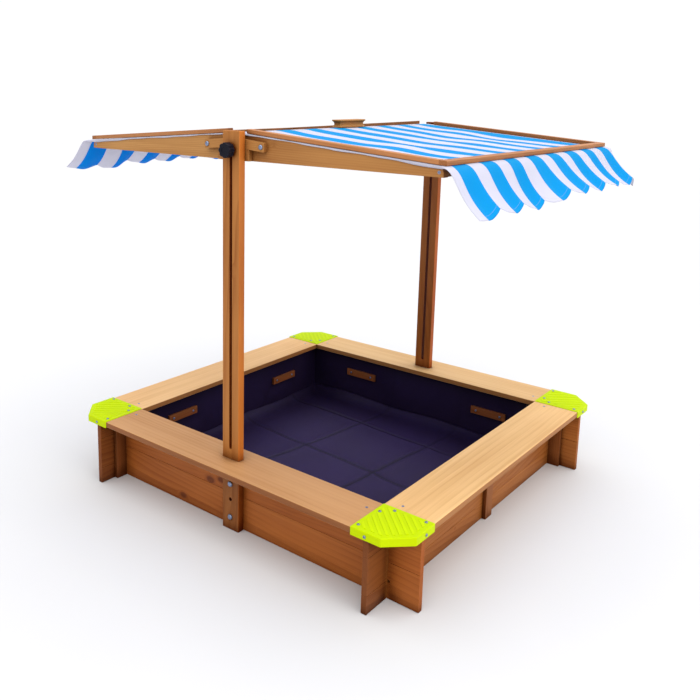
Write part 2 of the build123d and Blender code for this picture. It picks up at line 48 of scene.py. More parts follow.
# ---- Small helpers for node trees ----
class Net:
    """Adds nodes to a tree. Inputs are given as sockets, numbers or colours."""

    def __init__(self, tree):
        self.tree = tree

    def feed(self, socket, value):
        if isinstance(value, bpy.types.NodeSocket):
            self.tree.links.new(value, socket)
        elif value is not None:
            if socket.type == "RGBA" and len(value) == 3:
                value = (*value, 1.0)
            socket.default_value = value

    def node(self, kind, settings=None, **inputs):
        made = self.tree.nodes.new("ShaderNode" + kind)
        for name, value in (settings or {}).items():
            setattr(made, name, value)
        for name, value in inputs.items():
            self.feed(made.inputs[name.replace("_", " ")], value)
        return made

    def math(self, operation, a, b=None, c=None, clamp=False):
        made = self.tree.nodes.new("ShaderNodeMath")
        made.operation = operation
        made.use_clamp = clamp
        for socket, value in zip(made.inputs, (a, b, c)):
            self.feed(socket, value)
        return made.outputs[0]

    def vector(self, operation, a, b=None):
        made = self.tree.nodes.new("ShaderNodeVectorMath")
        made.operation = operation
        self.feed(made.inputs[0], a)
        self.feed(made.inputs[1], b)
        name = "Value" if operation in ("LENGTH", "DISTANCE", "DOT_PRODUCT") else "Vector"
        return made.outputs[name]

    def mix(self, factor, a, b, blend="MIX"):
        made = self.tree.nodes.new("ShaderNodeMix")
        made.data_type = "RGBA"
        made.blend_type = blend
        self.feed(made.inputs["Factor"], factor)
        colours = [s for s in made.inputs if s.type == "RGBA"]
        self.feed(colours[0], a)
        self.feed(colours[1], b)
        return [s for s in made.outputs if s.type == "RGBA"][0]

    def times(self, colour, factor):
        """A colour multiplied by another colour or by a number's grey."""
        return self.mix(1.0, colour, factor, "MULTIPLY")

    def smooth(self, value, low, high, to_low=0.0, to_high=1.0):
        made = self.tree.nodes.new("ShaderNodeMapRange")
        made.interpolation_type = "SMOOTHSTEP"
        self.feed(made.inputs["Value"], value)
        for name, number in (
            ("From Min", low), ("From Max", high), ("To Min", to_low), ("To Max", to_high)
        ):
            made.inputs[name].default_value = number
        return made.outputs["Result"]

    def noise(self, vector, scale, detail=2.0, roughness=0.5, seed=None):
        made = self.tree.nodes.new("ShaderNodeTexNoise")
        if seed is not None:
            made.noise_dimensions = "4D"
            self.feed(made.inputs["W"], seed)
        self.feed(made.inputs["Vector"], vector)
        made.inputs["Scale"].default_value = scale
        made.inputs["Detail"].default_value = detail
        made.inputs["Roughness"].default_value = roughness
        return made.outputs["Fac"]

    def ramp(self, value, *stops):
        """A curve through stops given as (place, height)."""
        made = self.tree.nodes.new("ShaderNodeValToRGB")
        ramp = made.color_ramp
        while len(ramp.elements) < len(stops):
            ramp.elements.new(0.5)
        for element, (place, height) in zip(ramp.elements, stops):
            element.position = place
            element.color = (height, height, height, 1.0)
        self.feed(made.inputs["Fac"], value)
        return made.outputs["Color"]

    def bump(self, height, distance, strength=1.0, normal=None):
        made = self.node("Bump", Height=height, Distance=distance, Strength=strength)
        self.feed(made.inputs["Normal"], normal)
        return made.outputs["Normal"]


def linear(red, green, blue):
    """A colour given in display values from 0 to 255, as a linear one."""
    def one(value):
        value /= 255
        return value / 12.92 if value <= 0.04045 else ((value + 0.055) / 1.055) ** 2.4
    return one(red), one(green), one(blue)


def new_material(name):
    made = bpy.data.materials.new(name)
    made.use_nodes = True
    made.node_tree.nodes.clear()
    net = Net(made.node_tree)
    shader = net.node("BsdfPrincipled")
    out = net.node("OutputMaterial")
    net.feed(out.inputs["Surface"], shader.outputs[0])
    return made, net, shader


def paint(shader, net, **values):
    for name, value in values.items():
        net.feed(shader.inputs[name.replace("_", " ")], value)


def openness(net, distance):
    """How open the surroundings are: 1 on an open face, less in gaps and corners."""
    made = net.node("AmbientOcclusion", {"samples": 6}, Distance=distance)
    return made.outputs["AO"]


def dress(node, material):
    """Gives a CAD node one material all over."""
    data = nodes[node].data
    data.materials.clear()
    data.materials.append(material)


# ---- Wood ----
def wood_group():
    """Softwood sawn along X: growth rings round a pith outside the board, fibres, streaks and knots."""
    tree = bpy.data.node_groups.new("softwood", "ShaderNodeTree")
    sockets = (
        ("Vector", "NodeSocketVector", "INPUT"), ("Pith", "NodeSocketVector", "INPUT"),
        ("Seed", "NodeSocketFloat", "INPUT"), ("Ring", "NodeSocketFloat", "INPUT"),
        ("Tilt", "NodeSocketFloat", "INPUT"), ("Knot", "NodeSocketFloat", "INPUT"),
        ("Figure", "NodeSocketFloat", "INPUT"),
        ("Light", "NodeSocketColor", "INPUT"), ("Dark", "NodeSocketColor", "INPUT"),
        ("Color", "NodeSocketColor", "OUTPUT"), ("Height", "NodeSocketFloat", "OUTPUT"),
        ("Tone", "NodeSocketFloat", "OUTPUT"),
    )
    for name, kind, way in sockets:
        tree.interface.new_socket(name, in_out=way, socket_type=kind)
    net = Net(tree)
    given = tree.nodes.new("NodeGroupInput").outputs
    place, seed = given["Vector"], given["Seed"]
    along = net.node("SeparateXYZ", Vector=place).outputs["X"]
    sway = net.noise(net.vector("MULTIPLY", place, (1.3, 9.0, 9.0)), 1.0, 1.5, 0.5, seed)
    flat = net.vector("MULTIPLY", net.vector("SUBTRACT", place, given["Pith"]), (0.0, 1.0, 1.0))
    radius = net.vector("LENGTH", flat)
    radius = net.math("ADD", radius, net.math("MULTIPLY", along, given["Tilt"]))
    radius = net.math("MULTIPLY_ADD", sway, 0.030, radius)
    radius = net.math("MULTIPLY_ADD", given["Knot"], -0.014, radius)
    phase = net.math("FRACT", net.math("DIVIDE", radius, given["Ring"]))
    ring = net.ramp(phase, (0.0, 0.25), (0.45, 0.35), (0.80, 0.75), (0.92, 1.0), (1.0, 0.25))
    fibre = net.noise(net.vector("MULTIPLY", place, (9.0, 620.0, 620.0)), 1.0, 2.0, 0.6, seed)
    streak = net.noise(net.vector("MULTIPLY", place, (0.9, 55.0, 55.0)), 1.0, 3.0, 0.6, seed)
    blotch = net.noise(net.vector("MULTIPLY", place, (2.2, 6.0, 6.0)), 1.0, 2.0, 0.5, seed)
    patchy = net.smooth(blotch, 0.35, 0.65, 0.35, 1.0)
    tone = net.math("MULTIPLY", net.math("MULTIPLY", ring, patchy), given["Figure"])
    tone = net.math("MULTIPLY_ADD", fibre, 0.34, tone)
    tone = net.math("MULTIPLY_ADD", streak, 0.62, tone)
    tone = net.math("MULTIPLY_ADD", blotch, 0.34, tone)
    tone = net.smooth(tone, 0.40, 1.15)
    colour = net.mix(tone, given["Light"], given["Dark"])
    heart = net.smooth(given["Knot"], 0.30, 0.80)
    halo = net.smooth(given["Knot"], 0.04, 0.40)
    deep = net.times(given["Dark"], (0.62, 0.52, 0.26))
    core = net.mix(ring, net.times(given["Dark"], (0.32, 0.26, 0.14)), deep)
    colour = net.mix(net.math("MULTIPLY", halo, 0.55), colour, given["Dark"])
    colour = net.mix(net.math("MULTIPLY", heart, 0.85), colour, core)
    height = net.math("MULTIPLY_ADD", ring, -0.25, net.math("MULTIPLY", fibre, 0.6))
    out = tree.nodes.new("NodeGroupOutput").inputs
    net.feed(out["Color"], colour)
    net.feed(out["Height"], height)
    net.feed(out["Tone"], tone)
    return tree


softwood = wood_group()
GRAIN_TURNS = {
    "X": (0.0, 0.0, 0.0),
    "Y": (0.0, 0.0, -math.pi / 2),
    "Z": (0.0, math.pi / 2, 0.0),
}
STAINS = {
    "side": (linear(178, 110, 48), linear(142, 78, 28)),
    "cleat": (linear(150, 90, 42), linear(120, 66, 26)),
    "seat": (linear(214, 171, 118), linear(186, 138, 84)),
    "post": (linear(194, 124, 58), linear(156, 88, 32)),
    "roof": (linear(184, 130, 70), linear(152, 98, 46)),
}
# Colour factors for single boards. Those for post_back and liner_clips are painted shade: they darken parts
# that sit in shade.
TONES = {
    "seat_front": (0.80, 0.70, 0.66), "seat_right": (1.16, 1.20, 1.16), "seat_back": (1.06, 1.12, 1.14),
    "seat_left": (1.14, 1.16, 1.18), "post_back": (0.80, 0.62, 0.42), "liner_clips": (0.62, 0.56, 0.85),
    "gable_beam_front_left": (1.15, 1.28, 1.50), "gable_beam_front_right": (0.94, 0.92, 0.92),
    "front_board_upper": (1.04, 0.86, 0.68), "front_board_lower": (1.04, 0.90, 0.76),
    "corner_cleats_front_left": (0.80, 0.74, 0.76),
}

# Painted shade in gaps and inner corners: the colour the wood is multiplied by there, and how far that may
# go.
GAP_SHADE = {
    "side": ((0.16, 0.09, 0.06), 0.50),
    "cleat": ((0.20, 0.11, 0.07), 0.85),
    "seat": ((0.16, 0.09, 0.06), 1.0),
    "post": ((0.22, 0.10, 0.05), 1.0),
    "roof": ((0.40, 0.30, 0.24), 0.85),
}


def knot_strength(net, start, grain, knots):
    """How near a point is to the nearest knot, from 0 to 1. Knots are drawn out along the grain."""
    squeeze = {"X": (0.62, 1, 1), "Y": (1, 0.62, 1), "Z": (1, 1, 0.62)}
    found = 0.0
    for centre, radius in knots:
        away = net.vector("MULTIPLY", net.vector("SUBTRACT", start, centre), squeeze[grain])
        one = net.smooth(net.vector("LENGTH", away), radius * 3.2, 0.0)
        found = net.math("MAXIMUM", found, net.math("POWER", one, 2.2))
    return found


def fibre_place(net, start, grain):
    """The object's own place, turned so that the fibres run along X."""
    if grain != "XY":
        turn = net.node("Mapping", {"vector_type": "POINT"}, Vector=start)
        turn.inputs["Rotation"].default_value = GRAIN_TURNS[grain]
        return turn.outputs[0]
    parts = net.node("SeparateXYZ", Vector=net.vector("ABSOLUTE", start))
    sideways = net.math("GREATER_THAN", parts.outputs["X"], parts.outputs["Y"])
    swapped = net.node("VectorRotate", {"rotation_type": "Z_AXIS"}, Vector=start)
    swapped.inputs["Angle"].default_value = -math.pi / 2
    return net.mix(sideways, start, swapped.outputs[0])


def board_stain(name, stain, rng):
    """The light and dark colours of one board."""
    tone = TONES.get(name, [1 + rng.uniform(-0.06, 0.06)] * 3)
    if "batten" in name:
        tone = [share * k for share, k in zip(tone, (1.02, 0.93, 1.22))]
    return [tuple(v * k for v, k in zip(colour, tone)) for colour in STAINS[stain]]


def worn_edges(net, start):
    """Where edges have been rubbed, from 0 to 1."""
    rounded = net.node("Bevel", {"samples": 4}, Radius=0.0022)
    true_normal = net.node("NewGeometry").outputs["Normal"]
    worn = net.smooth(net.vector("DOT_PRODUCT", rounded.outputs[0], true_normal), 0.995, 0.86)
    rub = net.smooth(net.noise(start, 45.0, 3.0, 0.6), 0.35, 0.65)
    return net.math("MULTIPLY", worn, rub)


def painted_face_light(net, colour, stain, start, normal):
    """Painted light and shade: seats are darker on their edge faces, posts are redder on their flanks as
    painted light, and posts are darker below the seat as a painted shadow.
    """
    faces = net.node("SeparateXYZ", Vector=normal).outputs
    if stain == "seat":
        # Painted shade on the seats' edge faces.
        edge_shade = net.smooth(net.math("ABSOLUTE", faces["Z"]), 0.72, 0.35)
        colour = net.mix(edge_shade, colour, net.times(colour, (0.50, 0.34, 0.23)))
    if stain == "post":
        # Painted light on the posts' flanks, which turn redder than their fronts.
        flank_light = net.smooth(net.math("ABSOLUTE", faces["X"]), 0.4, 0.8)
        front, redder = net.times(colour, (0.88, 0.94, 0.98)), net.times(colour, (1.20, 1.02, 0.72))
        colour = net.mix(flank_light, front, redder)
        # Painted shadow of the seat on the posts below it.
        foot_shadow = net.smooth(net.node("SeparateXYZ", Vector=start).outputs["Z"], 0.204, 0.190)
        colour = net.mix(foot_shadow, colour, net.times(colour, (0.66, 0.58, 0.52)))
    return colour


def gap_shade(net, colour, stain, grain, start):
    """Paints shade into gaps and inner corners, and a painted shadow on the side boards' low ends. Also
    gives how strong the painted gap shade is.
    """
    shade_colour, most = GAP_SHADE[stain]
    if stain == "side" and grain != "XY":
        # Painted shadow on the low ends of the side boards; the gap shade there may reach full strength at
        # both ends.
        reach = net.node("SeparateXYZ", Vector=start).outputs[grain]
        stub_shadow = net.smooth(reach, -0.505, -0.520)
        colour = net.mix(stub_shadow, colour, net.times(colour, (0.56, 0.49, 0.48)))
        most = net.smooth(net.math("ABSOLUTE", reach), 0.500, 0.520, most, 1.0)
    # Painted shade: the wood darkens where its surroundings close in.
    near = net.math("MINIMUM", net.smooth(openness(net, 0.05), 0.90, 0.34), most)
    return net.mix(near, colour, net.times(colour, shade_colour)), near


def wood(name, stain, grain, seed, knots=(), slope=0.0):
    """A stained softwood. Grain is the axis that the fibres follow; knots are (place, radius)."""
    rng = random.Random(seed)
    made, net, shader = new_material(f"wood_{name}")
    coords = net.node("TexCoord")
    start = coords.outputs["Object"]
    if slope:
        turned = net.node("VectorRotate", {"rotation_type": "Y_AXIS"}, Vector=start)
        turned.inputs["Angle"].default_value = -slope
        start = turned.outputs[0]
    light, dark = board_stain(name, stain, rng)
    wide, figure = (2.6, 0.24) if stain == "seat" else (1.0, 0.40)
    body = net.node("Group")
    body.node_tree = softwood
    paint(
        body, net,
        Vector=fibre_place(net, start, grain),
        Pith=(0.0, rng.uniform(-0.06, 0.06), rng.uniform(-0.16, -0.09)),
        Seed=rng.uniform(0, 50),
        Figure=figure,
        Ring=rng.uniform(0.0040, 0.0056) * wide,
        Tilt=rng.choice((-1, 1)) * rng.uniform(0.010, 0.024),
        Knot=knot_strength(net, start, grain, knots),
        Light=light,
        Dark=dark,
    )

    # End grain is darker, and rubbed edges are paler.
    axis = {"X": (1, 0, 0), "Y": (0, 1, 0), "Z": (0, 0, 1), "XY": (0, 0, 0)}[grain]
    facing = net.math("ABSOLUTE", net.vector("DOT_PRODUCT", coords.outputs["Normal"], axis))
    end_face = net.smooth(facing, 0.7, 0.95)
    colour = net.mix(net.math("MULTIPLY", end_face, 0.5), body.outputs["Color"], dark)
    paler = tuple(min(1.0, v * 1.3 + 0.02) for v in light)
    colour = net.mix(net.math("MULTIPLY", worn_edges(net, start), 0.4), colour, paler)
    colour = painted_face_light(net, colour, stain, start, coords.outputs["Normal"])
    colour, near = gap_shade(net, colour, stain, grain, start)

    rough = net.math("MULTIPLY_ADD", body.outputs["Tone"], 0.12, 0.46)
    rough = net.math("MULTIPLY_ADD", end_face, 0.15, rough)
    shine = net.math("MULTIPLY_ADD", near, -0.20, 0.22)
    paint(shader, net, Base_Color=colour, Roughness=rough, Specular_IOR_Level=shine)
    paint(shader, net, Coat_Weight=net.math("MULTIPLY", shine, 0.14), Coat_Roughness=0.42)
    paint(shader, net, Normal=net.bump(body.outputs["Height"], 0.0006, 0.45))
    return made


def knots_for(node, grain, count, seed):
    """A few knots at seeded places on a board."""
    rng = random.Random(seed * 7 + 3)
    low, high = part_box(node)
    axis = "XYZ".index(grain)
    size = high - low
    found = []
    for _ in range(count):
        place = [low[i] + rng.uniform(0.15, 0.85) * size[i] for i in range(3)]
        place[axis] = low[axis] + rng.uniform(0.08, 0.92) * size[axis]
        found.append((tuple(place), rng.uniform(0.0045, 0.0085)))
    return found


WOOD = []
for side in ("front", "back"):
    for row in ("lower", "upper"):
        WOOD.append((f"{side}_board_{row}", "side", "X", 2))
for side in ("left", "right"):
    for row in ("starter", "middle", "top"):
        WOOD.append((f"{side}_board_{row}", "side", "Y", 1))
for corner in ("front_right", "back_right", "back_left", "front_left"):
    WOOD.append((f"corner_cleats_{corner}", "cleat", "Z", 0))
for side in ("left", "right"):
    WOOD.append((f"middle_cleat_{side}", "cleat", "Z", 0))
WOOD += [("seat_front", "seat", "X", 0), ("seat_back", "seat", "X", 1)]
WOOD += [("seat_left", "seat", "Y", 0), ("seat_right", "seat", "Y", 0)]
WOOD += [("post_front", "post", "Z", 1), ("post_back", "post", "Z", 1)]
for side in ("front", "back"):
    for hand in ("left", "right"):
        WOOD.append((f"gable_beam_{side}_{hand}", "roof", "X", 2))
        WOOD.append((f"gable_batten_{side}_{hand}", "roof", "X", 0))
    WOOD.append((f"splice_plate_{side}", "roof", "X", 0))
    WOOD.append((f"slide_block_{side}", "roof", "Z", 0))
WOOD += [("ridge_rail", "roof", "Y", 1), ("ridge_handle", "roof", "Y", 0)]
for hand in ("left", "right"):
    WOOD += [(f"eave_rail_{hand}", "roof", "Y", 1), (f"eave_batten_{hand}", "roof", "Y", 0)]

roof_slope = (0.071 - 0.0235) / 0.606
for index, (node, stain, grain, count) in enumerate(WOOD):
    seed = 100 + index
    knots = knots_for(node, grain, count, seed)
    if node == "front_board_upper":
        knots = [((-0.058, -0.504, 0.121), 0.0075), ((-0.100, -0.504, 0.108), 0.0095)]
    if node == "front_board_lower":
        knots = [((-0.214, -0.504, 0.020), 0.0080)]
    slope = 0.0
    if node.startswith("gable_batten"):
        slope = math.atan(roof_slope) * (1 if node.endswith("right") else -1)
    dress(node, wood(node, stain, grain, seed, knots, slope))
dress("liner_clips", wood("liner_clips", "side", "XY", 91))


# ---- Moulded plastic, metal ----
def lime_plastic():
    """Bright moulded caps: fine spark texture, scuffs on the ribs and shade in the grooves."""
    made, net, shader = new_material("lime_plastic")
    place = net.node("TexCoord").outputs["Object"]
    grain = net.noise(place, 1400.0, 2.0, 0.6)
    cloud = net.noise(place, 14.0, 3.0, 0.5)
    scuff = net.noise(net.vector("MULTIPLY", place, (60.0, 260.0, 60.0)), 1.0, 4.0, 0.7)
    top = net.node("SeparateXYZ", Vector=place).outputs["Z"]
    base = net.mix(cloud, linear(184, 206, 0), linear(196, 220, 0))
    groove = net.math("MULTIPLY", net.smooth(top, 0.2154, 0.2147), net.smooth(top, 0.2120, 0.2140))
    base = net.mix(net.math("MULTIPLY", groove, 0.22), base, linear(150, 180, 0))
    worn = net.smooth(scuff, 0.62, 0.8)
    base = net.mix(net.math("MULTIPLY", worn, 0.10), base, linear(212, 232, 60))
    rough = net.math("MULTIPLY_ADD", cloud, 0.12, 0.40)
    rough = net.math("MULTIPLY_ADD", worn, 0.2, rough)
    paint(shader, net, Base_Color=base, Roughness=rough, Specular_IOR_Level=0.05)
    paint(shader, net, Normal=net.bump(grain, 0.00025, 0.35))
    return made


def black_plastic():
    made, net, shader = new_material("black_plastic")
    place = net.node("TexCoord").outputs["Object"]
    grain = net.noise(place, 1800.0, 2.0, 0.6)
    cloud = net.noise(place, 60.0, 3.0, 0.5)
    base = net.mix(cloud, (0.003, 0.003, 0.008), (0.006, 0.007, 0.016))
    rough = net.math("MULTIPLY_ADD", cloud, 0.2, 0.30)
    paint(shader, net, Base_Color=base, Roughness=rough, Specular_IOR_Level=0.14)
    paint(shader, net, Normal=net.bump(grain, 0.0002, 0.4))
    return made


def zinc():
    """Zinc plate with a cool tint, fine brushing and dull spots."""
    made, net, shader = new_material("zinc_plate")
    place = net.node("TexCoord").outputs["Object"]
    brushed = net.noise(net.vector("MULTIPLY", place, (500.0, 500.0, 3000.0)), 1.0, 2.0, 0.6)
    spots = net.noise(place, 220.0, 4.0, 0.6)
    base = net.mix(spots, (0.16, 0.21, 0.34), (0.36, 0.42, 0.58))
    rough = net.math("MULTIPLY_ADD", spots, 0.26, 0.22)
    paint(shader, net, Base_Color=base, Roughness=rough, Metallic=0.95)
    paint(shader, net, Normal=net.bump(brushed, 0.0001, 0.35))
    return made


lime, knob_black, plated = lime_plastic(), black_plastic(), zinc()
for node in nodes:
    if node.startswith("corner_plate"):
        dress(node, lime)
    elif node in ("knob_front", "knob_back"):
        dress(node, knob_black)
    elif node.endswith(("screws", "bolts", "washers")):
        dress(node, plated)


# ---- Sheets of cloth ----
def sheet_object(name, points, places, material, thickness, keep=None):
    """A grid of points with a UV map in metres, given a real thickness. Keep says which cells are cloth."""
    rows, columns = points.shape[:2]
    index = np.arange(rows * columns).reshape(rows, columns)
    faces = []
    for i in range(rows - 1):
        for j in range(columns - 1):
            if keep is None or keep[i, j]:
                faces.append((index[i, j], index[i + 1, j], index[i + 1, j + 1], index[i, j + 1]))
    data = bpy.data.meshes.new(name)
    data.from_pydata(points.reshape(-1, 3).tolist(), [], [tuple(int(k) for k in f) for f in faces])
    layer = data.uv_layers.new(name="cloth")
    flat = places.reshape(-1, 2)
    corners = np.array([loop.vertex_index for loop in data.loops])
    layer.data.foreach_set("uv", flat[corners].astype(np.float32).ravel())
    data.shade_smooth()
    data.materials.append(material)
    made = bpy.data.objects.new(name, data)
    scene.collection.objects.link(made)
    solid = made.modifiers.new("thickness", "SOLIDIFY")
    solid.thickness = thickness
    solid.offset = 0.0
    with bpy.context.temp_override(object=made, active_object=made, selected_objects=[made]):
        bpy.ops.object.modifier_apply(modifier=solid.name)
    return made


def mark(made, name, values):
    """Keeps a number for each point of the grid, on both faces of the thickened sheet."""
    layer = made.data.attributes.new(name, "FLOAT", "POINT")
    both = np.resize(values.ravel(), len(made.data.vertices))
    layer.data.foreach_set("value", both.astype(np.float32))


def wave(phase, *terms):
    """A sum of sines, each given as (how often, how much, shift)."""
    return sum(much * np.sin(often * phase + shift) for often, much, shift in terms)


STRIPE = 0.061
CLOTH_HALF = 0.490


def striped_cloth():
    """Woven polyester in blue and white stripes, with a stitched hem along the scallops."""
    made, net, shader = new_material("striped_cloth")
    uv = net.node("UVMap", {"uv_map": "cloth"}).outputs[0]
    parts = net.node("SeparateXYZ", Vector=uv)
    along, across = parts.outputs["X"], parts.outputs["Y"]
    ragged = net.noise(net.vector("MULTIPLY", uv, (900.0, 900.0, 1.0)), 1.0, 1.0)
    edge = net.math("MULTIPLY_ADD", ragged, 0.0006, across)
    turn = net.math("DIVIDE", net.math("ADD", edge, STRIPE / 2), 2 * STRIPE)
    phase = net.math("FRACT", net.math("ADD", turn, 20.0))
    blue = net.math("GREATER_THAN", phase, 0.5)
    cloud = net.noise(uv, 9.0, 3.0, 0.55)
    slub = net.noise(net.vector("MULTIPLY", uv, (40.0, 1500.0, 1.0)), 1.0, 2.0, 0.6)
    slub = net.math("MULTIPLY_ADD", cloud, 0.5, net.math("MULTIPLY", slub, 0.5))
    blue_colour = net.mix(slub, linear(0, 163, 212), linear(0, 173, 222))
    white_colour = net.mix(slub, linear(205, 204, 219), linear(215, 214, 229))
    colour = net.mix(blue, white_colour, blue_colour)
    weft = net.node("TexWave", {"wave_type": "BANDS", "bands_direction": "X"}, Vector=uv, Scale=260.0)
    warp = net.node("TexWave", {"wave_type": "BANDS", "bands_direction": "Y"}, Vector=uv, Scale=260.0)
    weave = net.math("MULTIPLY", weft.outputs["Fac"], warp.outputs["Fac"])
    dirt = net.smooth(cloud, 0.55, 0.8, 0.0, 0.05)
    colour = net.mix(dirt, colour, linear(140, 140, 150))
    thread = net.math("MULTIPLY_ADD", weave, 0.08, 0.96)
    colour = net.times(colour, thread)
    hem = net.node("Attribute", {"attribute_name": "hem"}).outputs["Fac"]
    seam = net.math("ABSOLUTE", net.math("SUBTRACT", hem, 0.012))
    line = net.smooth(seam, 0.0011, 0.0004)
    dashes = net.math("GREATER_THAN", net.math("FRACT", net.math("MULTIPLY", across, 240.0)), 0.28)
    stitch = net.math("MULTIPLY", line, dashes)
    colour = net.mix(net.math("MULTIPLY", stitch, 0.35), colour, linear(190, 200, 225))
    fold = net.smooth(hem, 0.0135, 0.0125)
    height = net.math("MULTIPLY_ADD", weave, 0.16, net.math("MULTIPLY", fold, 0.9))
    height = net.math("MULTIPLY_ADD", stitch, -0.6, height)
    paint(shader, net, Base_Color=colour, Roughness=net.math("MULTIPLY_ADD", slub, 0.12, 0.62))
    paint(shader, net, Specular_IOR_Level=0.08, Sheen_Weight=0.04, Sheen_Roughness=0.4)
    paint(shader, net, Normal=net.bump(height, 0.0008, 0.6))
    through_colour = net.mix(blue, linear(242, 244, 252), linear(0, 84, 255))
    through = net.node("BsdfTranslucent", Color=through_colour)
    both = net.node("MixShader")
    both.inputs[0].default_value = 0.40
    net.feed(both.inputs[1], shader.outputs[0])
    net.feed(both.inputs[2], through.outputs[0])
    out = [n for n in net.tree.nodes if n.type == "OUTPUT_MATERIAL"][0]
    net.feed(out.inputs["Surface"], both.outputs[0])
    return made


def eased(value, low, high):
    """A smooth step from 0 at low to 1 at high."""
    share = np.clip((value - low) / (high - low), 0, 1)
    return share * share * (3 - 2 * share)


def roof_sheet():
    """One striped sheet over both slopes, ending in a flared and scalloped valance at each eave."""
    ridge_low, ridge_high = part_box("ridge_rail")
    middle = (ridge_low.x + ridge_high.x) / 2
    ridge_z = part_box("roof_cloth")[1].z - 0.0008
    slope_angle = math.atan(roof_slope)
    eave_x = 0.6
    top_length = eave_x / math.cos(slope_angle)
    drop_length = 0.160

    # The sheet's own measures: U runs across the ridge, V along it, and D down each valance.
    across = np.linspace(0, top_length, 121)
    share = np.linspace(0, 1, 57)[1:]
    u_half = np.concatenate([across, np.full(share.size, top_length)])
    d_half = np.concatenate([np.zeros(across.size), share])
    v = np.linspace(-CLOTH_HALF, CLOTH_HALF, 321)
    U0, V = np.meshgrid(np.concatenate([-u_half[:0:-1], u_half]), v, indexing="ij")
    D = np.repeat(np.concatenate([d_half[:0:-1], d_half])[:, None], v.size, 1)
    H = np.where(U0 < 0, -1.0, 1.0)

    # The hem is cut in arcs, one to a blue and white pair, with a cusp at each blue's far edge.
    pair = np.mod((V + 6.5 * STRIPE) / (2 * STRIPE), 1.0)
    cut = 0.017 * np.abs(2 * pair - 1) ** 2.3
    reach = drop_length - cut
    hem = np.where(D > 0, reach * (1 - D), 1.0)
    S = D * reach
    U = (np.abs(U0) + S) * H

    # The valance turns down steeply under the batten and flares out again towards the hem.
    bend = np.radians(np.interp(
        S,
        (0.0, 0.014, 0.024, 0.038, 0.058, 0.085, 0.115, 0.160),
        (4.4, 6.5, 26.0, 50.0, 62.0, 59.0, 50.0, 38.0),
    ))
    right_flare = np.interp(V, (-0.49, -0.30, -0.10, 0.10, 0.25, 0.49), (0.0, 2.0, 6.5, 11.0, 11.5, 7.0))
    flare = np.where(H > 0, right_flare, 10.0 + 4.0 * V) + wave(V, (17.0, 1.4, 2.2)) * H
    bend = bend - np.radians(flare) * eased(S, 0.015, 0.075)
    step_x, step_z = np.cos(bend), np.sin(bend)
    top_rows = across.size
    half_rows = top_rows + share.size
    x_half = {}
    z_half = {}
    for hand, rows in ((1, slice(half_rows - 1, None)), (-1, slice(half_rows - 1, None, -1))):
        s, cx, cz = S[rows], step_x[rows], step_z[rows]
        ds = np.diff(s, axis=0)
        dx = np.cumsum(ds * (cx[1:] + cx[:-1]) / 2, axis=0)
        dz = np.cumsum(ds * (cz[1:] + cz[:-1]) / 2, axis=0)
        base_x = np.minimum(np.abs(U0[rows]) * math.cos(slope_angle), eave_x)
        x_half[hand] = base_x + np.concatenate([np.zeros((1, v.size)), dx])
        z_half[hand] = ridge_z - roof_slope * base_x - np.concatenate([np.zeros((1, v.size)), dz])
    X = np.concatenate([-x_half[-1][:0:-1], x_half[1]])
    Z = np.concatenate([z_half[-1][:0:-1], z_half[1]])
    tilt = np.where(D > 0, bend, slope_angle)
    NX, NZ = np.sin(tilt) * H, np.cos(tilt)

    # Loose cloth between the rails: a slight sag with soft ripples that fade out at every fixing.
    held_x = np.sin(np.pi * np.clip((np.abs(X) - 0.022) / 0.566, 0, 1)) ** 0.6
    held_y = 1 - eased(np.abs(V), 0.395, 0.466)
    ripple = wave(X * 16 + V * 4, (1.0, 0.9, 0.4), (1.9, 0.5, 2.0))
    ripple = ripple * wave(V, (9.0, 0.6, 1.0), (21.0, 0.4, 4.0))
    ripple = ripple + 0.25 * np.sin(V * 51.5 + 3.0 * np.sin(X * 7.0) + 0.8) * np.sin(X * 15 + V * 3)
    top_move = np.where(D == 0, (-0.0046 + 0.0026 * ripple) * held_x * held_y, 0)

    # Free valance: each lobe swings a little, and wider waves grow towards the hem.
    free = D * D * (3 - 2 * D)
    lobes = 0.0036 * np.sin(2 * np.pi * pair + 0.9) + 0.0016 * np.sin(4 * np.pi * pair + 2.2)
    wide = wave(V * H, (13.0, 0.0040, 0.7), (23.0, 0.0034, 2.1), (37.0, 0.0016, 4.4))
    move = top_move + free * (lobes + wide)
    X = X + NX * move
    Z = Z + NZ * move

    # Along the gables the edge lies under the batten and hangs a little over the beam's face.
    clamp = 0.4575
    beyond = np.clip((np.abs(V) - clamp) / (CLOTH_HALF - clamp), 0, 1)
    level = 0.0321
    droop = np.where(X < 0, 0.0052, 0.0036) * np.clip(np.abs(X) / 0.6, 0, 1) ** 3
    overhang = 0.0022 + droop
    overhang = overhang + wave(X, (23.0, 0.0009, 1.0), (61.0, 0.0006, 0.0))
    path = beyond * (level + overhang)
    folded = clamp + np.minimum(path, level) + 0.0006 * np.clip((path - level) / 0.002, 0, 1)
    hang = np.clip(path - level, 0, None) + 0.0009 * beyond**3
    spread = eased(np.abs(X), 0.592, 0.630)
    width = np.where(np.abs(V) < clamp, np.abs(V), folded * (1 - spread) + np.abs(V) * spread)
    Z = Z - hang * (1 - spread)

    # The valances draw out a little past the ends of the eave battens, most of all at the near end.
    fan = 0.009 * V / clamp - 0.011 * np.exp(-(((V + CLOTH_HALF) / 0.07) ** 2))
    lean = free * 0.006 * np.sin(V * 8.0 + 0.6) * H
    Y = np.sign(V) * width + lean + fan * spread

    # The back edge of the right valance has curled under.
    curl = np.clip((V - 0.462) / (CLOTH_HALF - 0.462), 0, 1) * np.where(H > 0, eased(S, 0.02, 0.07), 0)
    X = X - 0.020 * curl**1.5 * NX
    Z = Z - 0.020 * curl**1.5 * NZ
    Y = Y - 0.013 * curl

